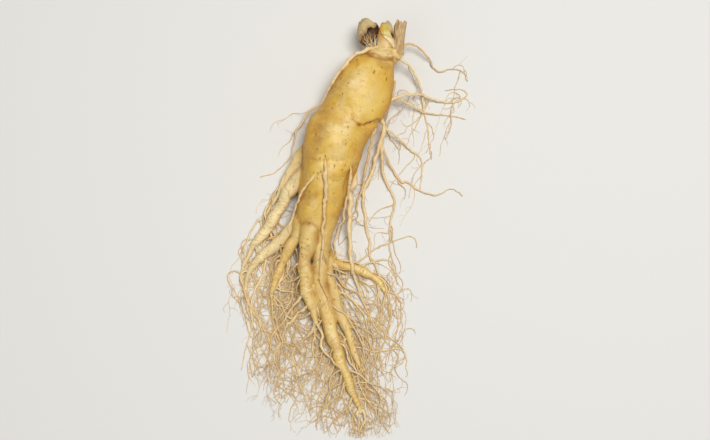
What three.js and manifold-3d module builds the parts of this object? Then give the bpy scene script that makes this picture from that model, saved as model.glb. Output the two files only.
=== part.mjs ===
// A fresh ginseng root, lying on a flat surface. Millimetres, +Z up, the surface is z = 0.
// +Y runs from the legs to the neck. The origin is the middle of the footprint.
//
// The root is one grown piece: neck, body, arms, legs and the stronger rootlets are joined in one
// solid. On its neck sit the winter bud, the dry base of last year's stem and two papery bud scales.

import * as THREE from 'three';
import { mergeVertices } from 'three/addons/utils/BufferGeometryUtils.js';
import Module from 'manifold-3d';

const wasm = await Module();
wasm.setup();

// Driving dimensions.
const PIECE_GAP = 0.3; // between the root and each piece that sits on its neck, and between those
const ROOTLET_SIDES = 5;
const ROOTLET_TIP = 0.5; // radius in which every rootlet ends
const SLAB = 500; // side of the block that flattens the underside, larger than the root

// Each limb is a list of stations [x, y, z, radius] along its middle line, from the body outwards.
// The underside of the body reaches a little below z = 0, where the surface has pressed it flat.
const taproot = {
  sides: 22,
  rings: 26,
  stations: [
    [12.5, 91, 16.5, 8.6], [8, 85.5, 16.4, 12.6], [4.8, 78, 16.6, 15.8], [-3.2, 62.5, 16, 16.4],
    [-11.3, 48.5, 16.8, 17.5], [-13.6, 36, 15.8, 16.7], [-16.5, 25, 14, 14.2], [-20, 13, 12.2, 12.4],
    [-23, 3, 10.4, 10.2], [-24, -6, 8.6, 7], [-24, -14, 7, 4],
  ],
};
const shoulder = {
  sides: 16,
  rings: 12,
  stations: [
    [14, 85, 18, 6], [12, 76, 18.8, 8.8], [9.4, 68.3, 19.2, 9.6], [7.2, 61.5, 19, 7.8], [5.5, 56.5, 18, 4],
  ],
};

// The top of the neck, with the scar that last year's stem leaves, and what sits on them. The stem
// has rotted out at its torn end.
const neckTop = {
  sides: 14,
  rings: 14,
  stations: [
    [12, 88, 17, 6.3], [13.5, 93.5, 17.5, 7.7], [15, 97.5, 18.5, 5.6], [17, 101, 19.2, 5.6],
    [17.5, 105, 19.7, 3.6],
  ],
};
const stemScar = {
  sides: 10,
  rings: 8,
  stations: [[14, 94, 16, 6], [20, 95.5, 16.5, 4.6], [24.5, 97.5, 17, 3.7], [26, 99.5, 17.2, 2.6]],
};
const winterBud = {
  sides: 14,
  rings: 12,
  stations: [
    [17.2, 100, 19.8, 4.8], [17.2, 102, 20.2, 4.9], [16.9, 105.5, 21, 4.3], [16.4, 109.5, 22, 3.3],
    [16, 113.5, 22.6, 1.1],
  ],
};
const stemBase = {
  sides: 12,
  rings: 10,
  stations: [
    [24.3, 96.6, 16.9, 3.4], [24.7, 100, 17.2, 3.4], [25, 105, 17.6, 3.4], [25.6, 110.5, 18, 3.6],
    [26.5, 115.5, 18.2, 3.4],
  ],
};
const stemHollow = {
  sides: 10,
  rings: 4,
  stations: [[25.7, 111.2, 18, 1.2], [26.3, 114, 18.1, 2.2], [26.7, 117, 18.3, 2.6]],
};

const legs = {
  main: [
    [-17, 16, 12.5, 9.4], [-18, 5, 11.6, 7.8], [-19, -7, 10, 5.8], [-20.3, -20, 8.2, 4.6],
    [-20, -34, 6.4, 4.2],
    [-18, -46.5, 5, 4.3], [-15, -59, 4.2, 4.4], [-11.5, -70.5, 4, 4.2], [-7.5, -81.5, 3.4, 3.5],
    [-4, -91.5, 2.8, 2.8], [-0.5, -100.5, 2, 1.8], [2.5, -109, 1.2, 0.8],
  ],
  middle: [
    [-23.8, 3, 13.5, 3.4], [-25.2, -4, 14.6, 4.5], [-27, -12.5, 13.4, 4.7],
    [-28.4, -24, 10.8, 4], [-28.5, -35.5, 8.6, 3.7], [-26.5, -44.5, 6.8, 3.1],
    [-24, -51.5, 5.6, 2.3], [-21.5, -59, 7, 1.1],
  ],
  left: [
    [-27, 9, 14, 3.2], [-29.8, 1.5, 12.8, 3.7], [-34, -8.5, 9.6, 3.3], [-39, -19, 6, 2.9],
    [-43.5, -27.5, 3.4, 2.5], [-46.5, -34.5, 2.2, 1.7], [-48.5, -44, 1.4, 1], [-48, -55, 0.9, 0.8],
  ],
  right: [
    [-18.5, -4.5, 8, 3.5], [-17, -15.5, 6.5, 3.1], [-15.5, -27, 5, 3], [-12.5, -39.5, 3.8, 2.9],
    [-9, -53, 3, 2.7], [-4, -66, 2.6, 2.5], [-0.5, -75, 2.3, 2.2], [3, -83, 1.7, 1.2],
    [7.5, -93, 1, 0.7],
  ],
};

const arms = {
  long: [
    [-22, 37.5, 14, 4.2], [-29, 29.5, 12, 3.9], [-37, 19, 8.6, 3.8], [-44, 7.5, 5.2, 3.6],
    [-50, -2.5, 3.6, 3.4], [-55.5, -9, 2.9, 2.8], [-60.5, -15.5, 2, 1.5], [-65, -24, 1.1, 0.9],
    [-66, -34, 0.8, 0.6],
  ],
  short: [
    [-24, 46, 11, 3.5], [-31, 38, 8.5, 3.3], [-36, 31, 5.6, 3], [-41, 23.5, 3.4, 2.4],
    [-46, 15, 2, 1.5], [-51.5, 6.5, 1.1, 0.9], [-56.5, 1, 0.7, 0.6],
  ],
  low: [
    [-27, 6, 10, 4], [-33, 1, 9, 3.2], [-40, -6.5, 6, 3.2], [-47, -13.5, 3.6, 3.1],
    [-53.5, -19, 2.8, 2.7], [-58.5, -23, 2.1, 2], [-62.5, -29.5, 1.3, 1], [-64, -39.5, 0.9, 0.7],
  ],
  right: [
    [-19, -12, 8, 3], [-17, -16.5, 6, 2.8], [-11.5, -23, 4.2, 2.5], [-3, -26, 3, 2.4],
    [5, -28.5, 2.5, 2.2], [12, -32.5, 2.1, 1.8], [17, -39.5, 1.4, 1.2], [20.5, -48, 0.9, 0.7],
  ],
};

// Rootlets: the radius where each leaves the root, and its route [x, y, z]. All end on the surface.
const rootlets = {
  neckLeft: [1.2, [
    [13.5, 99, 21.5], [6, 97.5, 25], [-2.5, 91, 26], [-10, 83, 22], [-15, 72.5, 16], [-21.5, 67, 11],
    [-28.5, 64, 7], [-34, 53, 3.5], [-37.5, 41, 1.5], [-46, 31, 0.8], [-55.5, 27.5, 0.7]]],
  neckRight: [0.8, [
    [20, 94, 16], [21.5, 86.5, 13], [22, 78, 9], [19, 68, 5], [18, 60, 2], [20.5, 50, 0.8],
    [26, 43, 0.6]]],
  neckFarRight: [0.9, [
    [20.5, 95, 16], [29, 93, 12], [34.5, 88, 8], [38, 81.5, 5], [39.5, 72.5, 2.5], [41, 62, 1],
    [43, 50, 0.6], [44.5, 37.5, 0.6]]],
  neckHooked: [0.8, [
    [23.5, 95.5, 15], [27.5, 101, 11.5], [33, 104.5, 9.5], [40, 100.5, 6], [44.5, 95, 2.5],
    [48.5, 90.5, 0.9], [55.5, 92, 0.6], [62.5, 90.5, 0.6], [66, 85, 0.6]]],
  shoulderWhip: [1, [
    [14.5, 65.5, 16], [20.5, 70.5, 15], [28.5, 74, 12], [36, 75, 7], [45, 73, 3], [54, 71.5, 1.2],
    [62.5, 73, 0.7], [66, 77.5, 0.6], [61, 79.5, 0.6], [53.5, 79, 0.6]]],
  shoulderLow: [0.8, [
    [15.5, 67, 15.5], [25.5, 71, 10], [32, 69, 6], [37.5, 66, 3], [46.5, 65, 1.2], [56.5, 63.5, 0.6],
    [65.5, 61, 0.6]]],
  waistRight: [1, [
    [6, 58.5, 19], [9.5, 51.5, 17], [8.5, 43, 12], [6.5, 34, 8], [4.5, 25, 5], [2.5, 15.5, 3],
    [-1, 6, 1.6], [-3, -4.5, 0.9], [-9, -13, 0.7]]],
  bundleMain: [1.4, [
    [11, 64, 14], [16.5, 55.5, 12], [14.5, 46.5, 8.5], [12.5, 39, 6], [9, 29, 3.5], [5, 18, 2],
    [5, 6, 1], [7.5, -6, 0.9], [9, -18.5, 1], [13.5, -29.5, 1], [18.5, -41, 0.9], [20.5, -52, 0.8],
    [18, -64, 0.6]]],
  bundleOuter: [1, [
    [15, 53, 10], [15.5, 40, 6], [15.5, 30.5, 3.5], [19, 22, 1.6], [23, 13, 0.8], [20.5, 1, 0.7],
    [20, -11.5, 0.7], [22, -24, 0.7], [24, -36, 0.7]]],
  bundleFar: [0.8, [
    [15.5, 57, 12], [21.5, 52, 7], [29, 46, 2.5], [36, 41, 1], [39, 33, 0.7], [37, 19, 0.6]]],
  bundleCross: [0.8, [
    [14.5, 46, 8], [20.5, 34, 3], [26, 25.5, 1], [32.5, 23, 0.7], [39.5, 18.5, 0.7],
    [48.5, 16.5, 0.7], [57, 20, 0.6], [62, 16, 0.6]]],
  hipLong: [1.8, [
    [-2.5, 31, 13], [-3, 20, 12.5], [-3, 8, 10.5], [-3.5, -3, 8.2], [-3, -14.5, 6], [-2, -27, 4.4],
    [2, -39, 2.4], [6, -49.5, 1.5], [11, -60, 1], [17, -66, 0.7], [25, -68, 0.6]]],
  hipShort: [0.9, [
    [-7, 32, 22], [-6.5, 22, 19], [-5.5, 13.5, 13], [-6.5, 5, 8], [-9, -3, 4], [-12, -11.5, 2.5],
    [-9, -25.5, 0.8], [-4, -38, 0.7], [0.5, -51, 0.7]]],
  centre: [1.3, [
    [-16.5, 33, 29.4], [-17, 25.5, 28.6], [-17, 16.5, 26], [-17.5, 6.5, 23.2], [-18, -2, 20],
    [-18.5, -11.5, 16.5], [-19, -22, 14.2], [-20.5, -30.5, 12.4], [-19, -38, 11], [-15, -46, 9.6],
    [-13, -53, 8.2]]],
  waistLeft: [0.8, [
    [-21.5, 25.5, 26.8], [-25.5, 22, 25.5], [-29.5, 16.5, 22], [-33, 9.5, 17], [-36, 2, 11.6],
    [-38, -6.5, 6.5], [-44, -19, 1.4], [-49, -27, 0.7]]],
  calfUpper: [0.9, [
    [-26, -38, 9], [-32, -45, 6.5], [-39, -53.5, 3], [-46, -62.5, 1], [-51.5, -72.5, 0.7],
    [-57.5, -82, 0.7]]],
  calfLower: [0.9, [
    [-25.5, -46.5, 7], [-32.5, -53, 4], [-39.5, -60, 1.2], [-43, -69, 0.7], [-46.5, -76.5, 0.7],
    [-43, -87, 0.7], [-46, -97, 0.6]]],
  heel: [0.8, [
    [-22, -55, 6], [-25, -63.5, 3], [-30.5, -68, 1], [-36, -76, 0.7], [-33, -87, 0.7],
    [-29, -100, 0.7], [-26, -111, 0.6]]],
  leftFork: [0.8, [
    [-41.5, -25, 4], [-43.5, -34, 2], [-43.5, -43, 0.9], [-42, -51, 0.7], [-39, -59, 0.7],
    [-36, -69, 0.7]]],
  toeLeft: [0.8, [[-10, -78, 3], [-13, -86, 1], [-16.5, -95.5, 0.7], [-19, -107, 0.6]]],
  toeRight: [0.7, [[0.5, -80, 2], [3, -90, 0.9], [6.5, -100, 0.7], [9, -111, 0.6]]],
  toeMiddle: [0.7, [[-6, -86.5, 2.4], [-7, -98.5, 0.8], [-5, -109.5, 0.6], [-7, -117, 0.6]]],
};

// A limb: a lathed spindle with `rings` rings, bent so that its axis follows the stations' middle line.
function limbGeometry(stations, sides, rings) {
  const points = stations.map(([x, y, z]) => new THREE.Vector3(x, y, z));
  const route = new THREE.CatmullRomCurve3(points, false, 'centripetal');
  const girth = new THREE.SplineCurve(stations.map((station, i) => new THREE.Vector2(i, station[3])));
  const frames = route.computeFrenetFrames(rings, false);
  const profile = Array.from({ length: rings + 1 }, (_, i) => new THREE.Vector2(i % rings ? 1 : 0, i));
  const geometry = closedGeometry(new THREE.LatheGeometry(profile, sides));
  const position = geometry.attributes.position;
  const vertex = new THREE.Vector3();
  for (let i = 0; i < position.count; i += 1) {
    vertex.fromBufferAttribute(position, i);
    const ring = Math.round(vertex.y);
    const along = ring / rings;
    const radius = girth.getPoint(route.getUtoTmapping(along)).y;
    const bent = route.getPointAt(along)
      .addScaledVector(frames.normals[ring], vertex.x * radius)
      .addScaledVector(frames.binormals[ring], -vertex.z * radius);
    position.setXYZ(i, bent.x, bent.y, bent.z);
  }
  return geometry;
}

// A rootlet narrows evenly from its base to ROOTLET_TIP.
function rootletGeometry([baseRadius, route]) {
  const last = route.length - 1;
  const radiusAt = (i) => THREE.MathUtils.lerp(baseRadius, ROOTLET_TIP, i / last);
  const stations = route.map((point, i) => [...point, radiusAt(i)]);
  return limbGeometry(stations, ROOTLET_SIDES, 2 * last);
}

// Only the positions, with shared corners joined and the triangles that closed up to a line dropped.
function closedGeometry(source) {
  source.deleteAttribute('normal');
  source.deleteAttribute('uv');
  const merged = mergeVertices(source);
  const corners = merged.index.array;
  const kept = [];
  for (let i = 0; i < corners.length; i += 3) {
    const [a, b, c] = corners.slice(i, i + 3);
    if (a !== b && b !== c && c !== a) {
      kept.push(a, b, c);
    }
  }
  merged.setIndex(kept);
  return merged;
}

function solidOf(geometry) {
  const vertProperties = new Float32Array(geometry.attributes.position.array);
  const triVerts = new Uint32Array(geometry.index.array);
  return new wasm.Manifold(new wasm.Mesh({ numProp: 3, vertProperties, triVerts }));
}

function geometryOf(solid) {
  const { vertProperties, triVerts } = solid.getMesh();
  const geometry = new THREE.BufferGeometry();
  geometry.setAttribute('position', new THREE.BufferAttribute(vertProperties, 3));
  geometry.setIndex(new THREE.BufferAttribute(triVerts, 1));
  geometry.computeVertexNormals();
  return geometry;
}

function joined(solids) {
  return solids.reduce((whole, next) => whole.add(next));
}

// A limb as a solid. A clearance makes it thicker all round, to cut its neighbours back with.
function limb({ stations, sides, rings }, clearance = 0) {
  const thickened = stations.map(([x, y, z, radius]) => [x, y, z, radius + clearance]);
  return solidOf(limbGeometry(thickened, sides, rings));
}

function growRoot() {
  const body = [neckTop, stemScar, taproot, shoulder].map((part) => limb(part));
  const forks = [...Object.values(legs), ...Object.values(arms)];
  const thickLimbs = forks.map((stations) => limb({ stations, sides: 9, rings: 2 * stations.length }));
  const thinLimbs = Object.values(rootlets).map((rootlet) => solidOf(rootletGeometry(rootlet)));
  const surface = closedGeometry(new THREE.BoxGeometry(SLAB, SLAB, SLAB).translate(0, 0, -SLAB / 2));
  return joined([...body, ...thickLimbs, ...thinLimbs]).subtract(solidOf(surface));
}

// What sits on the neck is cut back to stand PIECE_GAP clear of each neighbour.
function seated(solid, neighbours) {
  return solid.subtract(joined(neighbours.map((part) => limb(part, PIECE_GAP))));
}

// A papery scale: an egg-shaped shell, open where the smaller egg inside it breaks through.
function scaleSolid({ centre, radii, turn, wall, opening }) {
  const egg = (shrink, shift) => {
    const geometry = closedGeometry(new THREE.SphereGeometry(1, 16, 10));
    geometry.scale(radii[0] - shrink, radii[1] - shrink, radii[2] - shrink);
    geometry.translate(...shift);
    geometry.rotateZ(turn);
    geometry.translate(...centre);
    return solidOf(geometry);
  };
  return egg(0, [0, 0, 0]).subtract(egg(wall, opening));
}

const leftScale = scaleSolid({
  centre: [8, 108.3, 17.5], radii: [6.5, 9, 6], turn: 0.35, wall: 0.7, opening: [0.3, -2.6, 1.7] });
const rightScale = scaleSolid({
  centre: [18.6, 108, 15.4], radii: [3.4, 8.6, 2.8], turn: -0.05, wall: 0.6, opening: [0.2, -2, 1.2] });

const skin = { color: 0xdcbb69, roughness: 0.55, metalness: 0 };
const budSkin = { color: 0xe2c98a, roughness: 0.5, metalness: 0 };
const dryStem = { color: 0xc4a684, roughness: 0.85, metalness: 0 };
const dryScale = { color: 0xb59c6a, roughness: 0.8, metalness: 0 };

function piece(name, solid, finish) {
  const mesh = new THREE.Mesh(geometryOf(solid), new THREE.MeshStandardMaterial(finish));
  mesh.name = name;
  return mesh;
}

const ginseng = new THREE.Group();
ginseng.add(piece('ginseng_root', growRoot(), skin));
ginseng.add(piece('winter_bud', seated(limb(winterBud), [neckTop, stemScar]), budSkin));
const hollowStem = limb(stemBase).subtract(limb(stemHollow));
ginseng.add(piece('stem_base', seated(hollowStem, [neckTop, stemScar, winterBud]), dryStem));
const neckPieces = [neckTop, stemScar, winterBud, stemBase];
ginseng.add(piece('bud_scale_left', seated(leftScale, neckPieces), dryScale));
ginseng.add(piece('bud_scale_right', seated(rightScale, neckPieces), dryScale));

export default ginseng;
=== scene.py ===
"""A fresh ginseng root lying on a pale floor, seen from above.

The file follows the root from its body outwards: the fleshy body with its neck, legs and arms, the
strong rootlets, the fine rootlets and their hairs, then what stands on the neck: the bud, the dry
stem base, the scales and the crown fibres. Lengths are written in millimetres and multiplied by MM,
because the frame is in metres.
"""
import math

import bpy
import numpy as np
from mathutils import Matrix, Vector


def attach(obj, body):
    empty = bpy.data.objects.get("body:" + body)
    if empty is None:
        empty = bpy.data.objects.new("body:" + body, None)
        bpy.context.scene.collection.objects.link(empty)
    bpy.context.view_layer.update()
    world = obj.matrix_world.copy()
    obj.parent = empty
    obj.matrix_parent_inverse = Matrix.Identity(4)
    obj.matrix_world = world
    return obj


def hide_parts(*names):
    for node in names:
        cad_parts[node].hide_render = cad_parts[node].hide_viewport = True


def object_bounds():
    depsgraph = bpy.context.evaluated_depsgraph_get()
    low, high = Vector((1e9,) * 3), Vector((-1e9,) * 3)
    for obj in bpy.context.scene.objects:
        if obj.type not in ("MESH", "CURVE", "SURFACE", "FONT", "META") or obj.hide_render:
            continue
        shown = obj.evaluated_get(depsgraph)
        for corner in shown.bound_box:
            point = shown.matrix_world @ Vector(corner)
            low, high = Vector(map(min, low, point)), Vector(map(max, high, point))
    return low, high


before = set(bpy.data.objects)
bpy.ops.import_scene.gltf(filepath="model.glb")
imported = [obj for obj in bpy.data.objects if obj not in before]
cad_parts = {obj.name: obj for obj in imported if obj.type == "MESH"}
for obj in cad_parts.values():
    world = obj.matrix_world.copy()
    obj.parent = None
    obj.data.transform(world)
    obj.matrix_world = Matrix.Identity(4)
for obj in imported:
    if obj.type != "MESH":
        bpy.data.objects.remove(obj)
cad_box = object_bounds()
MM = 0.001


# ---------------------------------------------------------------------------------------------
# Camera. It looks steeply down on the root, with the neck away from it, and takes in the whole
# length of the root with a narrow margin above and below.

ELEVATION = math.radians(83)
DISTANCE = 0.72
MARGIN = 1.07  # height of the view over the length of the root
SENSOR = 36.0
ASPECT = 710 / 440

lowest, highest = np.array(cad_box[0]), np.array(cad_box[1])
middle = (lowest + highest) / 2
camera_data = bpy.data.cameras.new("camera")
camera_data.sensor_width = SENSOR
camera_data.lens = SENSOR / ASPECT * DISTANCE / ((highest[1] - lowest[1]) * MARGIN)
camera = bpy.data.objects.new("camera", camera_data)
bpy.context.scene.collection.objects.link(camera)
camera.location = middle + DISTANCE * np.array([0, -math.cos(ELEVATION), math.sin(ELEVATION)])
camera.rotation_euler = (math.pi / 2 - ELEVATION, 0, 0)
bpy.context.scene.camera = camera
bpy.context.scene.view_settings.view_transform = "Standard"


# ---------------------------------------------------------------------------------------------
# Floor and light. A plain matt board, a large soft lamp high on the right, a weaker one on the
# left, and an even pale sky that fills the shadows.

def pigment(red, green, blue):
    """A colour given as 0 to 255 on a screen, as the linear light that the shaders mix."""
    screen = np.array([red, green, blue]) / 255
    linear = np.where(screen <= 0.04045, screen / 12.92, ((screen + 0.055) / 1.055) ** 2.4)
    return (*linear, 1.0)


def connect(tree, value, socket):
    """Gives a socket its input: a link if the input is a socket too, otherwise a plain value."""
    if isinstance(value, bpy.types.NodeSocket):
        tree.links.new(value, socket)
    else:
        socket.default_value = value


def new_material(name):
    """A material with one Principled shader; returns the material and its node tree."""
    material = bpy.data.materials.new(name)
    material.use_nodes = True
    return material, material.node_tree


def set_shader(tree, inputs):
    """Gives a material's shader its inputs, each a value or a socket."""
    for label, value in inputs.items():
        connect(tree, value, tree.nodes["Principled BSDF"].inputs[label])


FLOOR_SIZE = 10.0  # metres
FLOOR_GREY = pigment(226, 226, 224)

bpy.ops.mesh.primitive_plane_add(size=FLOOR_SIZE, location=(0, 0, 0))
floor = bpy.context.object
floor.name = "floor"
floor_paint, tree = new_material("floor paint")
set_shader(tree, {"Base Color": FLOOR_GREY, "Roughness": 0.9, "Specular IOR Level": 0.2})
floor.data.materials.append(floor_paint)

LAMPS = {  # name: (place, size, watts, colour)
    "key lamp": ((0.26, 0.16, 1.24), 0.60, 13.4, (1.0, 0.98, 0.94)),
    "fill lamp": ((-0.75, -0.35, 0.80), 0.90, 1.5, (0.98, 0.99, 1.0)),
}
for name, (place, size, watts, colour) in LAMPS.items():
    lamp = bpy.data.lights.new(name, "AREA")
    lamp.size = size
    lamp.energy = watts
    lamp.color = colour
    holder = bpy.data.objects.new(name, lamp)
    bpy.context.scene.collection.objects.link(holder)
    holder.location = place
    aim = np.array(place) - middle
    tilt = math.acos(aim[2] / np.linalg.norm(aim))
    holder.rotation_euler = (tilt, 0, math.atan2(aim[1], aim[0]) + math.pi / 2)

SKY_COLOUR = (1.0, 0.985, 0.96, 1.0)
SKY_STRENGTH = 0.25

sky = bpy.data.worlds.new("sky")
sky.use_nodes = True
sky_light = sky.node_tree.nodes["Background"].inputs
sky_light["Color"].default_value = SKY_COLOUR
sky_light["Strength"].default_value = SKY_STRENGTH
bpy.context.scene.world = sky


# ---------------------------------------------------------------------------------------------
# Body, neck, legs and arms: one fleshy root with a thin yellow-cream skin. Every limb is a chain
# of stations (x, y, z, radius) along its middle line, and the skin is drawn tight over them all.

TRUNK = {
    "taproot": [
        (12.5, 91, 16.5, 8.6), (8, 85.5, 16.4, 12.6), (4.8, 78, 16.6, 15.8), (-3.2, 62.5, 16, 16.4),
        (-11.3, 48.5, 16.8, 17.5), (-13.6, 36, 15.8, 16.7), (-16.5, 25, 14, 14.2), (-20, 13, 12.2, 12.4),
        (-23, 3, 10.4, 10.2), (-24, -6, 8.6, 7), (-24, -14, 7, 4)],
    "shoulder": [
        (14, 85, 18, 6), (12, 76, 18.8, 8.8), (9.4, 68.3, 19.2, 9.6), (7.2, 61.5, 19, 7.8),
        (5.5, 56.5, 18, 4)],
    "main leg": [
        (-17, 16, 12.5, 9.4), (-18, 5, 11.6, 7.8), (-19, -7, 10, 5.8), (-20.3, -20, 8.2, 4.6),
        (-20, -34, 6.4, 4.2), (-18, -46.5, 5, 4.3), (-15, -59, 4.2, 4.4), (-11.5, -70.5, 4, 4.2),
        (-7.5, -81.5, 3.4, 3.5), (-4, -91.5, 2.8, 2.8), (-0.5, -100.5, 2, 1.8), (2.5, -109, 1.2, 0.8)],
}
BRANCHES = {
    "neck": [
        (12, 88, 17, 6.3), (13.5, 93.5, 17.5, 7.7), (15, 97.5, 18.5, 5.6), (17, 101, 19.2, 5.6),
        (17.5, 105, 19.7, 3.6)],
    "stem scar": [(14, 94, 16, 6), (20, 95.5, 16.5, 4.6), (24.5, 97.5, 17, 3.7), (26, 99.5, 17.2, 2.6)],
    "middle leg": [
        (-23.8, 3, 13.5, 3.4), (-25.2, -4, 14.6, 4.5), (-27, -12.5, 13.4, 4.7),
        (-28.4, -24, 10.8, 4), (-28.5, -35.5, 8.6, 3.7), (-26.5, -44.5, 6.8, 3.1),
        (-24, -51.5, 5.6, 2.1), (-21.5, -59, 7, 0.8)],
    "left leg": [
        (-27, 9, 14, 3.2), (-29.8, 1.5, 12.8, 3.7), (-34, -8.5, 9.6, 3.3), (-39, -19, 6, 2.9),
        (-43.5, -27.5, 3.4, 2.5), (-46.5, -34.5, 2.2, 1.7), (-48.5, -44, 1.4, 1), (-48, -55, 0.9, 0.8)],
    "right leg": [
        (-18.5, -4.5, 8, 3.5), (-17, -15.5, 6.5, 3.1), (-15.5, -27, 5, 3), (-12.5, -39.5, 3.8, 2.9),
        (-9, -53, 3, 2.7), (-4, -66, 2.6, 2.5), (-0.5, -75, 2.3, 2.2), (3, -83, 1.7, 1.2),
        (7.5, -93, 1, 0.7)],
    "long arm": [
        (-22, 37.5, 14, 4.2), (-29, 29.5, 12, 3.9), (-37, 19, 8.6, 3.8), (-44, 7.5, 5.2, 3.6),
        (-50, -2.5, 3.6, 3.4), (-55.5, -9, 2.9, 2.8), (-60.5, -15.5, 2, 1.5), (-65, -24, 1.1, 0.9),
        (-66, -34, 0.8, 0.6)],
    "short arm": [
        (-24, 46, 11, 3.5), (-31, 38, 8.5, 3.3), (-36, 31, 5.6, 3), (-41, 23.5, 3.4, 2.4),
        (-46, 15, 2, 1.5), (-51.5, 6.5, 1.1, 0.9), (-56.5, 1, 0.7, 0.6)],
    "low arm": [
        (-27, 6, 10, 4), (-33, 1, 9, 3.2), (-40, -6.5, 6, 3.2), (-47, -13.5, 3.6, 3.1),
        (-53.5, -19, 2.8, 2.7), (-58.5, -23, 2.1, 2), (-62.5, -29.5, 1.3, 1), (-64, -39.5, 0.9, 0.7)],
    "right arm": [
        (-19, -12, 8, 3), (-17, -16.5, 6, 2.8), (-11.5, -23, 4.2, 2.5), (-3, -26, 3, 2.4),
        (5, -28.5, 2.5, 2.2), (12, -32.5, 2.1, 1.8), (17, -39.5, 1.4, 1.2), (20.5, -48, 0.9, 0.7)],
}
SIDES = 20
STATION_STEP = 1.6  # millimetres between the rings of a limb
VOXEL = 0.54 * MM
TRUNK_MELT = 1.7 * MM  # how softly the shoulder and the main leg run into the taproot
LIMB_MELT = 0.85 * MM  # how softly the other limbs run into the body
REACH = 5 * MM  # beyond this distance from a limb, the limb no longer matters
CLEFT_WIDTH = 1.3 * MM  # how wide the cleft between two limbs is, which the colour darkens as painted shade
GRAIN_OFFSET = 0.2  # metres between the grains of two limbs, so that their wrinkles differ
# How pale each limb becomes, from the deep yellow of the body at 0 to cream at 1. A limb starts with
# PALE_START of its paleness, inside the body, and gains the rest over PALING of its length.
PALING = 22 * MM
PALE_START = 0.1
PALENESS = {"taproot": 0.0, "shoulder": 0.0, "main leg": 0.28, "neck": 0.5, "stem scar": 0.65,
            "middle leg": 0.36, "left leg": 0.36, "right leg": 0.42, "long arm": 0.95, "short arm": 0.8,
            "low arm": 0.9, "right arm": 0.3}
# Folds in the top of the body and round the neck: depth (a ridge where it is negative), half width
# and route (x, y), all in millimetres. The colour is darkened along each fold as painted shade.
FOLDS = [
    (0.8, 0.7, [(-1.6, 58), (-1, 55.5), (0.7, 53.4), (2.8, 52.4)]),
    (1.1, 0.6, [(2.2, 52.3), (4.8, 52.7), (7, 53.8), (9.5, 54.8)]),
    (1.2, 1.2, [(6.5, 53.2), (9, 54.2), (11, 55.2), (13.5, 56.4)]),
    (0.35, 0.7, [(-1.6, 58), (-2.6, 61), (-5, 63), (-8.5, 64)]),
    (0.5, 0.6, [(0.5, 91), (1.2, 88.5), (0.2, 86.5), (2.2, 84.6)]),
    (1.1, 0.6, [(5.5, 97.5), (8.8, 94.4), (13.1, 92.4), (17.8, 91.5), (21.5, 92.4)]),
    (-0.9, 1.5, [(8.5, 98.5), (11, 96.6), (14.4, 95), (18.2, 94), (21.5, 94.8)]),
    (0.6, 0.5, [(18.2, 93.6), (19, 95.4), (20.8, 95.6), (21.6, 94), (20.4, 92.8), (18.6, 93)]),
    (0.45, 0.5, [(9.5, 99.6), (12, 97.9), (15, 96.9), (18.5, 96.4)]),
    (1.1, 1.5, [(-17, 31.5), (-17.4, 24), (-17.2, 15), (-17.5, 5), (-18.5, -6)]),
    (0.7, 1.1, [(1, 31), (-3.5, 25.5), (-5.8, 20), (-6.5, 10), (-9.5, -2)]),
    (0.6, 1.0, [(-20, 25.5), (-25, 21.5), (-28.5, 17), (-31, 12)]),
    (0.4, 0.8, [(-25, 33.5), (-20.5, 31.6), (-16, 32.4), (-11.5, 31), (-6, 32.6)]),
    (0.35, 0.6, [(-27, 8), (-24, 6.2), (-21, 7.4)]),
    (0.35, 0.6, [(-14, 22), (-11, 20.6), (-8.5, 22)]),
]
SWELLINGS = [  # centre x and y, spread, and height (a dent where it is negative), in millimetres
    (-7, 56, 8, -0.8), (-14, 66, 7, -0.9), (1, 47, 5, -0.5), (0, 71, 8, 0.8), (4.5, 58, 5, 0.6),
    (-13, 42, 8, 0.8), (10, 74, 8, 0.6), (-23, 19, 5, 0.7), (-11, 25, 5, 0.6), (-24, 46, 6, -0.7),
    (4, 86, 6, -0.5), (-12, 12, 5, 0.5), (-19, 50, 5, -0.6), (-4, 44, 4, -0.5), (-9, 80, 5, -0.5),
    (13, 64, 4, -0.6), (-18, 30, 4, 0.5), (-5, 36, 5, 0.6), (12, 83, 4, 0.5),
]
STAINS_AND_SHADE = [  # stains, and along the left flank painted shade: centre x and y and spread in millimetres, then strength
    (-17, 58, 7, 0.30), (-21, 47, 7, 0.34), (-11, 73, 6, 0.26), (-24, 36, 6, 0.34), (-27, 12, 6, 0.3),
    (-10, 3, 6, 0.32), (-3, 25, 6, 0.26), (17, 86, 6, 0.22), (20, 70, 5, 0.22), (-1, 91, 4, 0.28),
    (-31, -22, 7, 0.26), (-23, -10, 4, 0.3), (12, 92, 5, 0.18), (2.5, 51, 3.5, 0.16),
    (19.8, 94, 2, 0.36), (8, 94.5, 2.5, 0.24), (-9, 60, 8, 0.1), (3, 40, 6, 0.12), (-17, -38, 5, 0.2),
    (-9, -70, 5, 0.2), (-38, 22, 5, 0.2), (-45, -8, 5, 0.2),
]


def course(stations, count):
    """Evenly spaced rows along a smooth curve through the stations.

    Each stretch is a cubic whose slope at a station is half the step between its neighbours; the
    radius and any other column follow the same cubic. Rows are then spaced by length.
    """
    rows = np.asarray(stations, float)
    padded = np.vstack([2 * rows[0] - rows[1], rows, 2 * rows[-1] - rows[-2]])
    place = np.linspace(0, len(rows) - 1, 16 * len(rows))
    stretch = np.minimum(place.astype(int), len(rows) - 2)
    part = (place - stretch)[:, None]
    a, b, c, d = (padded[stretch + i] for i in range(4))
    cubic = 3 * b - a - 3 * c + d
    curve = b + 0.5 * part * (c - a + part * (2 * a - 5 * b + 4 * c - d + part * cubic))
    travelled = np.append(0, np.cumsum(np.linalg.norm(np.diff(curve[:, :3], axis=0), axis=1)))
    even = np.linspace(0, travelled[-1], count)
    return np.column_stack([np.interp(even, travelled, column) for column in curve.T])


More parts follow.
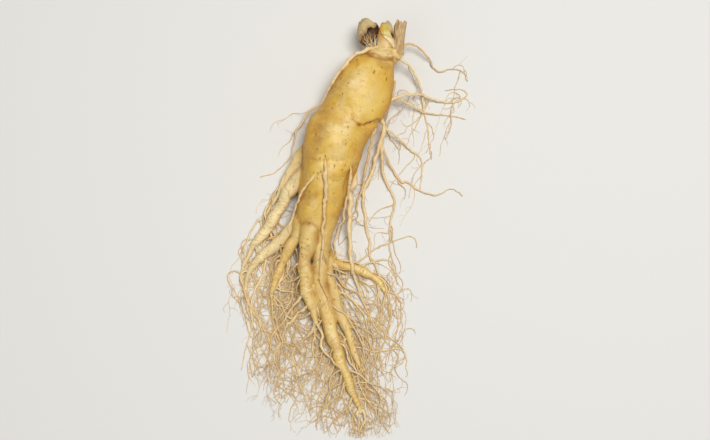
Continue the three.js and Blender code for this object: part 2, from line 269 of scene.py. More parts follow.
def unit(vectors):
    """Vectors divided by their own length."""
    return vectors / np.maximum(np.linalg.norm(vectors, axis=-1, keepdims=True), 1e-12)


LEAN = np.array([0.021, 0.013, 1.0])  # almost upright, so that no path ever runs exactly along it


def square_to(forward):
    """Two directions for each forward direction, square to it and to each other."""
    across = unit(np.cross(forward, LEAN))
    return across, np.cross(across, forward)


def full_turn(count):
    """Angles spread evenly over a whole turn."""
    return np.linspace(0, 2 * np.pi, count, endpoint=False)


def tubes(paths, radii, sides):
    """Closed tubes along many paths at once: paths is (tubes, rings, 3), radii is (tubes, rings).

    Ring k is a circle of its radius round point k, in the plane square to the path there; each end
    closes on its own point. Returns the vertices, four-sided faces and three-sided faces.
    """
    count, rings = radii.shape
    across, upward = square_to(unit(np.gradient(paths, axis=1)))
    turn = full_turn(sides)[:, None]
    circle = across[:, :, None] * np.cos(turn) + upward[:, :, None] * np.sin(turn)
    ring_points = (paths[:, :, None] + circle * radii[:, :, None, None]).reshape(count, -1, 3)
    vertices = np.concatenate([paths[:, :1], ring_points, paths[:, -1:]], axis=1)
    return vertices.reshape(-1, 3), *ring_faces(count, rings, sides)


def ring_faces(count, rings, sides):
    """Four-sided and three-sided faces of many stacks of rings, each stack with an end point before
    and after its rings, in the order in which the points are stored."""
    first = (np.arange(count) * (rings * sides + 2))[:, None, None] + 1
    side = np.arange(sides)
    beside = (side + 1) % sides
    near = first + np.arange(rings - 1)[:, None] * sides
    quads = np.stack([near + side, near + beside, near + sides + beside, near + sides + side], axis=-1)
    base, tip = first[:, 0], first[:, 0] + (rings - 1) * sides
    start_fan = np.stack([base - 1 + 0 * side, base + beside, base + side], axis=-1)
    end_fan = np.stack([tip + sides + 0 * side, tip + side, tip + beside], axis=-1)
    return quads.reshape(-1, 4), np.concatenate([start_fan, end_fan], axis=1).reshape(-1, 3)


def new_piece(name, vertices, quads, triangles=(), attributes=None):
    """A smooth-shaded mesh object in metres; attributes are per-vertex numbers or vectors."""
    triangles = np.asarray(triangles, int).reshape(-1, 3)
    mesh = bpy.data.meshes.new(name)
    corners = np.concatenate([quads.ravel(), triangles.ravel()]).astype(np.int32)
    sizes = np.concatenate([np.full(len(quads), 4), np.full(len(triangles), 3)])
    mesh.vertices.add(len(vertices))
    mesh.vertices.foreach_set("co", vertices.astype(np.float32).ravel())
    mesh.loops.add(len(corners))
    mesh.loops.foreach_set("vertex_index", corners)
    mesh.polygons.add(len(sizes))
    mesh.polygons.foreach_set("loop_start", (np.cumsum(sizes) - sizes).astype(np.int32))
    mesh.update(calc_edges=True)
    mesh.shade_smooth()
    write_attributes(mesh, attributes or {})
    piece = bpy.data.objects.new(name, mesh)
    bpy.context.scene.collection.objects.link(piece)
    return piece


def write_attributes(mesh, attributes):
    """Stores each array on the mesh's points, as a number or as a vector of three."""
    for label, values in attributes.items():
        single = values.ndim == 1
        layer = mesh.attributes.new(label, "FLOAT" if single else "FLOAT_VECTOR", "POINT")
        layer.data.foreach_set("value" if single else "vector", values.astype(np.float32).ravel())


def vertices_of(mesh):
    """All the mesh's points as one array."""
    flat = np.empty(len(mesh.vertices) * 3, np.float32)
    mesh.vertices.foreach_get("co", flat)
    return flat.reshape(-1, 3).astype(float)


def value_noise(points, seed):
    """Smooth noise from -1 to 1: a fixed random value at each whole-number corner, blended between
    the eight corners of the cell with the quintic 6t^5 - 15t^4 + 10t^3."""
    cell = np.floor(points)
    part = points - cell
    fade = part ** 3 * (part * (part * 6 - 15) + 10)
    total = np.zeros(len(points))
    for corner in np.ndindex(2, 2, 2):
        value = scattered(cell + corner, seed) * 2 - 1
        total += value * np.prod(np.where(corner, fade, 1 - fade), axis=1)
    return total


SCATTER_STEP = np.array([12.9898, 78.233, 37.719])
SCATTER_GAIN = 43758.5453


def scattered(corners, seed):
    """A fixed random number from 0 to 1 for each whole-number corner: the far decimals of a sine."""
    wave = np.abs(np.sin(corners @ SCATTER_STEP + seed))
    return np.modf(wave * SCATTER_GAIN)[0]


def nearest_dot(points, seed):
    """Distance to the nearest of many scattered dots, one dot at a random place in each unit cell."""
    cell = np.floor(points)
    nearest = np.full(len(points), 9.0)
    for corner in np.ndindex(3, 3, 3):
        home = cell + np.array(corner) - 1
        dot = home + np.stack([scattered(home, seed + k) for k in range(3)], axis=1)
        nearest = np.minimum(nearest, np.linalg.norm(points - dot, axis=1))
    return nearest


def chain(stations, seed):
    """A limb's rings in metres, a ring every STATION_STEP. Limbs thinner than the body also bend and
    swell a little, by noise read along them, as grown limbs do."""
    rows = course(stations, 200)
    length = np.linalg.norm(np.diff(rows[:, :3], axis=0), axis=1).sum()
    rows = course(stations, max(6, int(length / STATION_STEP)))
    step = np.linspace(0, length, len(rows))[:, None] * np.array([[1.0, 0.0, 0.0]])
    slim = np.clip((8 - rows[:, 3]) / 4, 0, 1) * np.clip(step[:, 0] / 8, 0, 1)
    for axis, reach in ((0, 0.8), (1, 0.4)):
        rows[:, axis] += reach * slim * value_noise(step / 9, seed + axis)
    swelling = 0.14 * value_noise(step / 6.5, seed + 2) + 0.06 * value_noise(step / 2.6, seed + 3)
    rows[:, 3] *= 1 + slim * swelling
    return rows * MM


LIMBS = {name: chain(stations, seed=300 + 10 * i)
         for i, (name, stations) in enumerate({**TRUNK, **BRANCHES}.items())}


def near_limb(points, rings):
    """Distance from each point to a limb, the way out of it, and where that is along and around it.

    The limb is a chain of cones with round joints. On each cone the nearest middle point is found
    by the point's share of the way along it, held between 0 and 1, and the nearest cone wins.
    """
    start, step = rings[:-1, :3], np.diff(rings[:, :3], axis=0)
    length = np.linalg.norm(step, axis=1)
    offset = points[:, None] - start
    share = np.clip(np.einsum("nmk,mk->nm", offset, step) / length ** 2, 0, 1)
    offset -= share[..., None] * step
    radius = rings[:-1, 3] + share * np.diff(rings[:, 3])
    gap = np.linalg.norm(offset, axis=2) - radius
    row, best = np.arange(len(points)), gap.argmin(axis=1)
    away = offset[row, best]
    along = np.append(0, np.cumsum(length))[best] + share[row, best] * length[best]
    across, upward = square_to(unit(step)[best])
    grain = np.stack([along, (away * across).sum(1), (away * upward).sum(1)], axis=1)
    return gap[row, best], unit(away), grain, radius[row, best]


def body_field(points):
    """The distance to the whole root, its way out, and what the skin there is like.

    Distances are joined by the soft minimum -m log(sum of exp(-d / m)), first the taproot with its
    shoulder and main leg, then that with every other limb. The same weights mix the other values.
    """
    names = list(LIMBS)
    count = len(points)
    gaps = np.full((len(names), count), 1.0)
    outs, grains = np.zeros((2, len(names), count, 3))
    girths, grown = np.zeros((2, len(names), count))
    for i, name in enumerate(names):
        rings = LIMBS[name]
        reach = rings[:, 3].max() + REACH
        low, high = rings[:, :3].min(0) - reach, rings[:, :3].max(0) + reach
        close = ((points > low) & (points < high)).all(1)
        if close.any():
            gap, out, grain, girth = near_limb(points[close], rings)
            gaps[i, close], outs[i, close], grains[i, close], girths[i, close] = gap, out, grain, girth
            grown[i, close] = np.clip(grain[:, 0] / PALING + PALE_START, 0, 1)
            grains[i, close, 0] += GRAIN_OFFSET * i
    on_shoulder = grains[0].any(axis=1)
    grains[1, on_shoulder] = grains[0, on_shoulder]  # the shoulder carries on the taproot's grain
    trunk = len(TRUNK)
    trunk_weight = np.exp(-np.clip((gaps[:trunk] - gaps[:trunk].min(0)) / TRUNK_MELT, 0, 50))
    trunk_gap = gaps[:trunk].min(0) - TRUNK_MELT * np.log(trunk_weight.sum(0))
    trunk_weight /= trunk_weight.sum(0)
    parts = np.vstack([trunk_gap[None], gaps[trunk:]])
    nearest = parts.min(0)
    weight = np.exp(-np.clip((parts - nearest) / LIMB_MELT, 0, 50))
    gap = nearest - LIMB_MELT * np.log(weight.sum(0))
    weight /= weight.sum(0)
    weights = np.vstack([trunk_weight * weight[0], weight[1:]])
    two_nearest = np.partition(parts, 1, axis=0)[:2]
    outs, grains, girths = (np.einsum("ln,ln...->n...", weights, values)
                            for values in (outs, grains, girths))
    paleness = np.array([PALENESS[name] for name in names])
    necks = np.array([name in ("neck", "stem scar") for name in names], float)
    return {"gap": gap, "out": unit(outs), "grain": grains, "girth": girths,
            "cleft": np.exp(-(two_nearest[1] - two_nearest[0]) / CLEFT_WIDTH),
            "pale": paleness @ (weights * grown), "neck": necks @ weights, "alone": weights.max(0)}


def settled(field):
    """1 where one limb has the skin to itself, falling to 0 where it runs into another."""
    return np.clip((field["alone"] - 0.6) / 0.35, 0, 1)


def route_distance(places, route):
    """Distance in plan, in millimetres, from each place to the nearest point of a smooth route."""
    line = course([(*point, 0) for point in route], 40)[:, :2]
    return np.linalg.norm(places[:, None] - line, axis=2).min(axis=1)


PIT_SPACING, PIT_SIZE = 5 * MM, 0.15  # the size is a share of the spacing
COLLAR = (16.5, 92)  # the lowest point of the neck's collar, in plan, in millimetres
COLLAR_SAG = 0.048  # how fast the collar climbs to both sides: a parabola
NECK_START, NECK_END = (12, 88), 103
NECK_WAY = (0.327, 0.945)  # the way the neck points, in plan
RING_SPACING = 2.4  # millimetres between the marks of two years' stems


def skin_relief(points, field):
    """How far the skin stands out from the smooth limbs, how deep its pits are, how stained and shaded
    it is and how much it is the bark of the neck. The shade is painted: darker along the folds and on
    the left flank.

    Broad swellings, 11 mm apart, and smaller lumps; shallow grooves across the limb, where stretched
    noise passes through zero; round pits at scattered dots; the listed folds, bell-shaped across
    their route; and the rings that each year's stem leaves on the neck. Heights are in millimetres.
    """
    along, about = field["grain"][:, :1] / MM, field["grain"][:, 1:] / MM
    places = points[:, :2] / MM
    upper = np.clip((points[:, 2] / MM - 8) / 6, 0, 1)
    slim = np.clip(1.15 - field["girth"] / (8 * MM), 0, 1)
    across, up = places.T
    past_collar = (up - COLLAR[1] - COLLAR_SAG * (across - COLLAR[0]) ** 2) / 1.5 + 0.3
    neck = np.maximum(field["neck"], np.clip(past_collar, 0, 1) * (up < NECK_END))
    up_neck = NECK_WAY[0] * (across - NECK_START[0]) + NECK_WAY[1] * (up - NECK_START[1])
    swelling = value_noise(points / (11 * MM), 1.0) * (0.8 - 0.4 * slim)
    lumps = value_noise(points / (4.6 * MM), 2.0) * (0.24 + 0.16 * slim)
    ripple = value_noise(np.hstack([along / 2.3, about / 9]), 3.0)
    patches = np.clip(0.1 + value_noise(np.hstack([along / 9, about / 8]), 4.0) + 0.8 * slim, 0, 1)
    grooves = -(1 - np.abs(ripple)) ** 7 * patches * (0.1 + 0.42 * slim) * settled(field)
    pits = np.clip(1 - nearest_dot(points / PIT_SPACING, 5.0) / PIT_SIZE, 0, 1) ** 0.8
    height = swelling + lumps + grooves - 0.45 * pits
    stain_and_shade = 0.5 * pits
    for depth, width, route in FOLDS:
        bell = np.exp(-(route_distance(places, route) / width) ** 2) * upper
        height -= depth * bell
        # painted shade along the fold, a ridge a little lighter
        stain_and_shade += 0.28 * depth * bell
    for x, y, spread, rise in SWELLINGS:
        height += rise * np.exp(-((places - (x, y)) ** 2).sum(1) / spread ** 2) * upper
    # real stains, and on the left flank painted shade
    for x, y, spread, strength in STAINS_AND_SHADE:
        stain_and_shade += strength * np.exp(-((places - (x, y)) ** 2).sum(1) / spread ** 2)
    uneven = 0.35 * value_noise(points / (5 * MM), 8.0)
    rings = np.abs(np.modf(np.abs(up_neck) / RING_SPACING + uneven)[0] - 0.5) * 2
    bark = value_noise(points / (1.3 * MM), 6.0) * 0.24 + value_noise(points / (2.6 * MM), 7.0) * 0.3
    threads = value_noise(np.column_stack([up_neck / 0.55, across / 4, points[:, 2] / (4 * MM)]), 9.0)
    height += neck * (0.5 * rings ** 0.6 - 0.35 + bark + 0.13 * threads)
    stain_and_shade += neck * (0.26 * (1 - rings) ** 3 + 0.18 * np.clip(-bark * 3, 0, 1) + 0.12 * threads)
    return height, pits, stain_and_shade, neck


CROWN_START = 86 * MM  # above this the painted shade in the clefts is weaker
CARRYINGS = 4  # how many times each point is moved towards the soft-joined surface


def draw_skin():
    """The skin mesh: closed tubes over every limb are fused on a fine voxel grid, then each point is
    carried onto the soft-joined surface (moved back by its distance along the way out, a few times
    over), raised by the relief, and kept above the floor."""
    points, quads, triangles = zip(*(tubes(rings[None, :, :3], rings[None, :, 3], SIDES)
                                     for rings in LIMBS.values()))
    starts = np.cumsum([0] + [len(part) for part in points])
    skin = new_piece("root_skin", np.vstack(points),
                     np.vstack([part + start for part, start in zip(quads, starts)]),
                     np.vstack([part + start for part, start in zip(triangles, starts)]))
    fuse = skin.modifiers.new("fuse", "REMESH")
    fuse.mode = "VOXEL"
    fuse.voxel_size = VOXEL
    fused = bpy.data.meshes.new_from_object(skin.evaluated_get(bpy.context.evaluated_depsgraph_get()))
    skin.modifiers.clear()
    skin.data = fused
    points = vertices_of(fused)
    for _ in range(CARRYINGS):
        field = body_field(points)
        points -= field["out"] * field["gap"][:, None]
    field = body_field(points)
    height, pits, stain_and_shade, neck = skin_relief(points, field)
    points += field["out"] * height[:, None] * MM
    points[:, 2] = np.maximum(points[:, 2], 0)
    fused.vertices.foreach_set("co", points.astype(np.float32).ravel())
    fused.update()
    fused.shade_smooth()
    # The cleft between two limbs is kept for the colour, which darkens it as painted shade, less so on
    # the crown.
    crown_shade_share = np.where(points[:, 1] > CROWN_START, 0.4, 1.0)
    pale = np.maximum(field["pale"], 0.5 * neck)
    pale = np.maximum(pale, 1.1 - field["girth"] / (2 * MM))
    write_attributes(fused, {
        "grain": field["grain"] / MM, "girth": field["girth"] / MM, "upward": field["out"][:, 2],
        "cleft": field["cleft"] * crown_shade_share, "pale": pale, "pits": pits, "stain_and_shade": stain_and_shade,
        "alone": settled(field)})
    return skin


root_skin = draw_skin()


def add_node(tree, kind, inputs=None, **settings):
    """A new node with its settings; each input takes a value or a socket."""
    node = tree.nodes.new(kind)
    for label, value in settings.items():
        setattr(node, label, value)
    for label, value in (inputs or {}).items():
        connect(tree, value, node.inputs[label])
    return node


def layered(tree, colour, *layers):
    """A colour with others laid over it in turn; each layer is a mask from 0 to 1 and its colour."""
    for mask, over in layers:
        mix = add_node(tree, "ShaderNodeMix", {0: mask, 6: colour, 7: over}, data_type="RGBA")
        colour = mix.outputs[2]
    return colour


def calculate(tree, operation, *values):
    """The socket of a Math node over values and sockets."""
    return add_node(tree, "ShaderNodeMath", dict(enumerate(values)), operation=operation).outputs[0]


def product(tree, *values):
    """All the values and sockets multiplied together."""
    total = values[0]
    for value in values[1:]:
        total = calculate(tree, "MULTIPLY", total, value)
    return total


def ramp(tree, value, low, high):
    """0 where the value is at low, 1 where it is at high, held between them."""
    return add_node(tree, "ShaderNodeMapRange", {
        "Value": value, "From Min": low, "From Max": high}).outputs["Result"]


def noise(tree, place, scale, detail=3.0, roughness=0.55):
    """The value of a noise texture."""
    return add_node(tree, "ShaderNodeTexNoise", {
        "Vector": place, "Scale": scale, "Detail": detail, "Roughness": roughness}).outputs["Fac"]


def stretched(tree, place, scale):
    """A place multiplied by a scale along each of its axes."""
    return add_node(tree, "ShaderNodeVectorMath", {0: place, 1: scale}, operation="MULTIPLY").outputs[0]


def bump(tree, height, strength, depth):
    """The normal of a surface raised by a height; depth is what a height of 1 stands for, in mm."""
    return add_node(tree, "ShaderNodeBump", {
        "Height": height, "Strength": strength, "Distance": depth * MM}).outputs["Normal"]


def attribute(tree, label, output="Fac"):
    """A value stored on the mesh's points."""
    return add_node(tree, "ShaderNodeAttribute", attribute_name=label).outputs[output]


def object_place(tree):
    """Where a point is on the object, in metres."""
    return add_node(tree, "ShaderNodeTexCoord").outputs["Object"]


def new_group(name, inputs, outputs):
    """An empty shader group with named sockets; returns the group with its input and output nodes."""
    group = bpy.data.node_groups.new(name, "ShaderNodeTree")
    kinds = {"colour": "NodeSocketColor", "value": "NodeSocketFloat", "vector": "NodeSocketVector"}
    for side, sockets in (("INPUT", inputs), ("OUTPUT", outputs)):
        for label, kind in sockets.items():
            group.interface.new_socket(label, in_out=side, socket_type=kinds[kind])
    return group, group.nodes.new("NodeGroupInput").outputs, group.nodes.new("NodeGroupOutput").inputs


def blotch_layer_group():
    """Blotches of two sizes in the stain colour, stronger where the Amount is, mixed over the clean
    colour: soil on most parts, on the skin also its painted shade.
    """
    group, given, result = new_group(
        "blotch layer", {"Place": "vector", "Colour": "colour", "Stain": "colour", "Amount": "value",
                        "Scale": "value"}, {"Colour": "colour"})
    blotches = noise(group, given["Place"], given["Scale"], detail=5.0, roughness=0.62)
    reach = calculate(group, "ADD", calculate(group, "SUBTRACT", blotches, 0.62), given["Amount"])
    mask = product(group, ramp(group, reach, 0.0, 0.45), 0.85)
    connect(group, layered(group, given["Colour"], (mask, given["Stain"])), result["Colour"])
    return group


def cross_wrinkle_group():
    """Fine wrinkles across a limb: noise drawn out round the limb, read in millimetres along it."""
    group, given, result = new_group(
        "cross wrinkle", {"Grain": "vector", "Spacing": "value"}, {"Height": "value", "Line": "value"})
    longer = stretched(group, given["Grain"], (1.0, 0.16, 0.16))
    closeness = calculate(group, "DIVIDE", 1.0, given["Spacing"])
    wave = noise(group, longer, closeness, detail=4.0, roughness=0.6)
    valley = calculate(group, "ABSOLUTE", calculate(group, "SUBTRACT", wave, 0.5))
    connect(group, wave, result["Height"])
    connect(group, ramp(group, valley, 0.035, 0.0), result["Line"])
    return group


blotch_layer = blotch_layer_group()
cross_wrinkle = cross_wrinkle_group()


def blotched(tree, colour, stain_and_shade, scale, amount):
    """The colour with blotches of soil over it, on the skin also its painted shade."""
    return add_node(tree, "ShaderNodeGroup", {
        "Place": object_place(tree), "Colour": colour, "Stain": stain_and_shade, "Scale": scale,
        "Amount": amount}, node_tree=blotch_layer).outputs["Colour"]


SKIN_DEEP = pigment(216, 170, 56)
SKIN_LIGHT = pigment(234, 203, 114)
SKIN_PALE = pigment(243, 223, 172)
SKIN_FLANK_SHADE = pigment(206, 142, 20)
SKIN_STAIN_AND_SHADE = pigment(172, 116, 46)
SKIN_SPECK = pigment(112, 74, 30)

skin_material, tree = new_material("ginseng skin")
grain = attribute(tree, "grain", "Vector")
girth = attribute(tree, "girth")
upward = attribute(tree, "upward")
alone = attribute(tree, "alone")
place = object_place(tree)
tone = ramp(tree, noise(tree, place, 70.0, detail=4.0), 0.3, 0.72)
# Painted highlight: skin that faces straight up is mixed, in patches, towards pale cream.
top_highlight = product(tree, ramp(tree, upward, 0.82, 1.0), ramp(tree, noise(tree, place, 85.0), 0.35, 0.8))
# Painted shade: on the thicker limbs, skin turned away from up is mixed unevenly towards deep orange.
uneven = ramp(tree, noise(tree, place, 60.0, detail=4.0), 0.05, 0.62)
flank_shade = product(tree, ramp(tree, upward, 0.86, 0.1), uneven, ramp(tree, girth, 1.0, 11.0))
wrinkles = add_node(tree, "ShaderNodeGroup", {"Grain": grain, "Spacing": 2.2},
                    node_tree=cross_wrinkle).outputs
lined = calculate(tree, "MULTIPLY_ADD", ramp(tree, girth, 14.0, 4.0), 0.24, 0.24)
colour = layered(tree, SKIN_DEEP, (tone, SKIN_LIGHT), (attribute(tree, "pale"), SKIN_PALE),
                 (top_highlight, SKIN_PALE), (flank_shade, SKIN_FLANK_SHADE),
                 (product(tree, lined, alone, wrinkles["Line"]), SKIN_STAIN_AND_SHADE))
# Painted shade in the clefts between limbs and along the folds, with the real stains, pits and neck
# marks, laid on in the stain colour.
soil_and_shade = calculate(tree, "MULTIPLY_ADD", attribute(tree, "cleft"), 0.45, attribute(tree, "stain_and_shade"))
cells = add_node(tree, "ShaderNodeTexVoronoi", {
    "Vector": stretched(tree, grain, (0.62, 0.36, 0.36)), "Scale": 1.0}, feature="F1")
speck = product(tree, ramp(tree, cells.outputs["Distance"], 0.23, 0.09),
                ramp(tree, noise(tree, place, 140.0, detail=1.0), 0.42, 0.52))
pit = ramp(tree, attribute(tree, "pits"), 0.1, 0.7)
colour = layered(tree, blotched(tree, colour, SKIN_STAIN_AND_SHADE, 120.0, soil_and_shade),
                 (product(tree, speck, 0.8), SKIN_SPECK), (product(tree, pit, 0.45), SKIN_SPECK))
height = calculate(tree, "ADD", product(tree, wrinkles["Height"], alone),
                   product(tree, noise(tree, grain, 1.6, detail=4.0), 0.5))
height = calculate(tree, "SUBTRACT", height, product(tree, speck, 0.35))
set_shader(tree, {
    "Base Color": colour, "Roughness": ramp(tree, noise(tree, grain, 0.8), -1.2, 2.3),
    "Normal": bump(tree, height, 0.5, 0.5), "Specular IOR Level": 0.36,
    "Subsurface Weight": 0.12, "Subsurface Radius": (1.0, 0.55, 0.2), "Subsurface Scale": 2.0 * MM})
root_skin.data.materials.clear()
root_skin.data.materials.append(skin_material)
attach(root_skin, "root")
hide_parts("ginseng_root")


# ---------------------------------------------------------------------------------------------
# Strong rootlets: pale, tough side roots, 1 to 4 mm thick, that leave the neck, the shoulder, the
# waist and the legs, hang down to the floor and run along it. Name: (radius at the base, route).

ROOTLETS = {
    "neck left": (1.2, [
        (13.5, 99, 21.5), (6, 97.5, 25), (-2.5, 91, 26), (-10, 83, 22), (-15, 72.5, 16), (-21.5, 67, 11),
        (-28.5, 64, 7), (-34, 53, 3.5), (-37.5, 41, 1.5), (-46, 31, 0.8), (-55.5, 27.5, 0.7)]),
    "neck right": (0.8, [
        (20, 94, 16), (21.5, 86.5, 13), (22, 78, 9), (19, 68, 5), (18, 60, 2), (20.5, 50, 0.8),
        (26, 43, 0.6)]),
    "neck far right": (0.9, [
        (20.5, 95, 16), (29, 93, 12), (34.5, 88, 8), (38, 81.5, 5), (39.5, 72.5, 2.5), (41, 62, 1),
        (43, 50, 0.6), (44.5, 37.5, 0.6)]),
    "neck hooked": (0.8, [
        (23.5, 95.5, 15), (27.5, 101, 11.5), (33, 104.5, 9.5), (40, 100.5, 6), (44.5, 95, 2.5),
        (48.5, 90.5, 0.9), (55.5, 92, 0.6), (62.5, 90.5, 0.6), (66, 85, 0.6)]),
    "shoulder whip": (1.0, [
        (14.5, 65.5, 16), (20.5, 70.5, 15), (28.5, 74, 12), (36, 75, 7), (45, 73, 3), (54, 71.5, 1.2),
        (62.5, 73, 0.7), (66, 77.5, 0.6), (61, 79.5, 0.6), (53.5, 79, 0.6)]),
    "shoulder low": (0.8, [
        (15.5, 67, 15.5), (25.5, 71, 10), (32, 69, 6), (37.5, 66, 3), (46.5, 65, 1.2), (56.5, 63.5, 0.6),
        (65.5, 61, 0.6)]),
    "waist right": (1.0, [
        (6, 58.5, 19), (9.5, 51.5, 17), (8.5, 43, 12), (6.5, 34, 8), (4.5, 25, 5), (2.5, 15.5, 3),
        (-1, 6, 1.6), (-3, -4.5, 0.9), (-9, -13, 0.7)]),
    "bundle main": (1.4, [
        (11, 64, 14), (16.5, 55.5, 12), (14.5, 46.5, 8.5), (12.5, 39, 6), (9, 29, 3.5), (5, 18, 2),
        (5, 6, 1), (7.5, -6, 0.9), (9, -18.5, 1), (13.5, -29.5, 1), (18.5, -41, 0.9), (20.5, -52, 0.8),
        (18, -64, 0.6)]),
    "bundle outer": (1.0, [
        (15, 53, 10), (15.5, 40, 6), (15.5, 30.5, 3.5), (19, 22, 1.6), (23, 13, 0.8), (20.5, 1, 0.7),
        (20, -11.5, 0.7), (22, -24, 0.7), (24, -36, 0.7)]),
    "bundle far": (0.8, [
        (15.5, 57, 12), (21.5, 52, 7), (29, 46, 2.5), (36, 41, 1), (39, 33, 0.7), (37, 19, 0.6)]),
    "bundle cross": (0.8, [
        (14.5, 46, 8), (20.5, 34, 3), (26, 25.5, 1), (32.5, 23, 0.7), (39.5, 18.5, 0.7),
        (48.5, 16.5, 0.7), (57, 20, 0.6), (62, 16, 0.6)]),
    "hip long": (1.8, [
        (-2.5, 31, 13), (-3, 20, 12.5), (-3, 8, 10.5), (-3.5, -3, 8.2), (-3, -14.5, 6), (-2, -27, 4.4),
        (2, -39, 2.4), (6, -49.5, 1.5), (11, -60, 1), (17, -66, 0.7), (25, -68, 0.6)]),
    "hip short": (0.9, [
        (-7, 32, 22), (-6.5, 22, 19), (-5.5, 13.5, 13), (-6.5, 5, 8), (-9, -3, 4), (-12, -11.5, 2.5),
        (-9, -25.5, 0.8), (-4, -38, 0.7), (0.5, -51, 0.7)]),
    "centre": (1.3, [
        (-16.5, 33, 29.4), (-17, 25.5, 28.6), (-17, 16.5, 26), (-17.5, 6.5, 23.2), (-18, -2, 20),
        (-18.5, -11.5, 16.5), (-19, -22, 14.2), (-20.5, -30.5, 12.4), (-19, -38, 11), (-15, -46, 9.6),
        (-13, -53, 8.2)]),
    "waist left": (0.8, [
        (-21.5, 25.5, 26.8), (-25.5, 22, 25.5), (-29.5, 16.5, 22), (-33, 9.5, 17), (-36, 2, 11.6),
        (-38, -6.5, 6.5), (-44, -19, 1.4), (-49, -27, 0.7)]),
    "calf upper": (0.9, [
        (-26, -38, 9), (-32, -45, 6.5), (-39, -53.5, 3), (-46, -62.5, 1), (-51.5, -72.5, 0.7),
        (-57.5, -82, 0.7)]),
    "calf lower": (0.9, [
        (-25.5, -46.5, 7), (-32.5, -53, 4), (-39.5, -60, 1.2), (-43, -69, 0.7), (-46.5, -76.5, 0.7),
        (-43, -87, 0.7), (-46, -97, 0.6)]),
    "heel": (0.8, [
        (-22, -55, 6), (-25, -63.5, 3), (-30.5, -68, 1), (-36, -76, 0.7), (-33, -87, 0.7),
        (-29, -100, 0.7), (-26, -111, 0.6)]),
    "left fork": (0.8, [
        (-41.5, -25, 4), (-43.5, -34, 2), (-43.5, -43, 0.9), (-42, -51, 0.7), (-39, -59, 0.7),
        (-36, -69, 0.7)]),
    "toe left": (0.8, [(-10, -78, 3), (-13, -86, 1), (-16.5, -95.5, 0.7), (-19, -107, 0.6)]),
    "toe right": (0.7, [(0.5, -80, 2), (3, -90, 0.9), (6.5, -100, 0.7), (9, -111, 0.6)]),
    "toe middle": (0.7, [(-6, -86.5, 2.4), (-7, -98.5, 0.8), (-5, -109.5, 0.6), (-7, -117, 0.6)]),
}
ROOTLET_RINGS = 110
ROOTLET_TIP = 0.22 * MM


def travelled_along(paths):
    """How far along its own path each point is."""
    return np.linalg.norm(np.diff(paths, axis=1, prepend=paths[:, :1]), axis=2).cumsum(1)


def noise_along(paths, spacing, apart, seed):
    """Noise read along each path, a cell of it every spacing. The paths read it on lines that lie
    apart from each other, so that each gets its own."""
    travelled = travelled_along(paths)
    row = np.broadcast_to(np.arange(len(paths))[:, None] * apart, travelled.shape)
    places = np.stack([travelled / spacing, row, 0 * row], axis=-1).reshape(-1, 3)
    return value_noise(places, seed).reshape(travelled.shape)


def waver(paths, reach, spacing, seed):
    """Paths bent a little from side to side and up and down: noise read along each path moves every
    point by up to reach; the base of the path stays where it is."""
    fixed = np.clip(travelled_along(paths) / (6 * MM), 0, 1)[..., None]
    sway = np.stack([noise_along(paths, spacing, 7.31, seed + k) for k in range(3)], axis=-1)
    return paths + sway * fixed * reach * np.array([1, 1, 0.4])


def lift_clear(paths, radii):
    """Paths kept out of the fleshy root and above the floor. Each rises out of the skin slowly: its
    middle line starts its own radius deep and lies clear of the skin 8 mm further on."""
    flat = paths.reshape(-1, 3)
    field = body_field(flat)
    wanted = (radii * (1.9 * np.clip(travelled_along(paths) / (8 * MM), 0, 1) - 1.0)).ravel()
    flat = flat + field["out"] * np.maximum(wanted - field["gap"], 0)[:, None]
    flat[:, 2] = np.maximum(flat[:, 2], radii.ravel() * 1.05)
    return flat.reshape(paths.shape)


def knotted(radii, paths, seed, depth):
    """Radii made uneven, as rootlets are: noise read along each one, up to depth of the radius."""
    return radii * (1 + depth * noise_along(paths, 1.7 * MM, 3.7, seed))


def on_vertices(values, sides):
    """A value per ring, spread over the ring's points and the two end points of each tube."""
    spread = np.repeat(values, sides, axis=1)
    return np.concatenate([values[:, :1], spread, values[:, -1:]], axis=1).ravel()


def rootlet_piece(name, paths, radii, sides, seed, joint=0.0):
    """Many rootlets as one mesh. Stored for the material: how much of the root's own colour each
    point has, which fades out over the share joint of the rootlet's length; the rootlet's own tone;
    and its thickness in millimetres."""
    vertices, quads, triangles = tubes(paths, radii, sides)
    along = np.broadcast_to(np.linspace(0, 1, radii.shape[1]), radii.shape)
    tone = np.broadcast_to(np.random.default_rng(seed).random(len(radii))[:, None], radii.shape)
    shared = np.clip(1 - along / joint, 0, 1) if joint else 0 * along
    marks = {"joint": shared, "tone": tone, "thickness": 2 * radii / MM}
    piece = new_piece(name, vertices, quads, triangles, {
        label: on_vertices(values, sides) for label, values in marks.items()})
    piece.data.materials.append(rootlet_material)
    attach(piece, "root")
    return piece


ROOTLET_CREAM = pigment(242, 222, 176)
ROOTLET_TAN = pigment(214, 176, 116)
ROOTLET_STAIN = pigment(168, 116, 58)

rootlet_material, tree = new_material("rootlet skin")
place = object_place(tree)
thin = ramp(tree, attribute(tree, "thickness"), 2.2, 0.3)
varied = calculate(tree, "ADD", product(tree, attribute(tree, "tone"), 0.6), product(tree, thin, 0.28))
colour = layered(tree, ROOTLET_CREAM, (varied, ROOTLET_TAN),
                 (product(tree, attribute(tree, "joint"), 0.75), SKIN_LIGHT))
set_shader(tree, {
    "Base Color": blotched(tree, colour, ROOTLET_STAIN, 260.0, 0.12),
    "Roughness": ramp(tree, noise(tree, place, 900.0), -1.0, 2.0),
    "Normal": bump(tree, noise(tree, place, 1400.0, detail=4.0), 0.4, 0.2)})

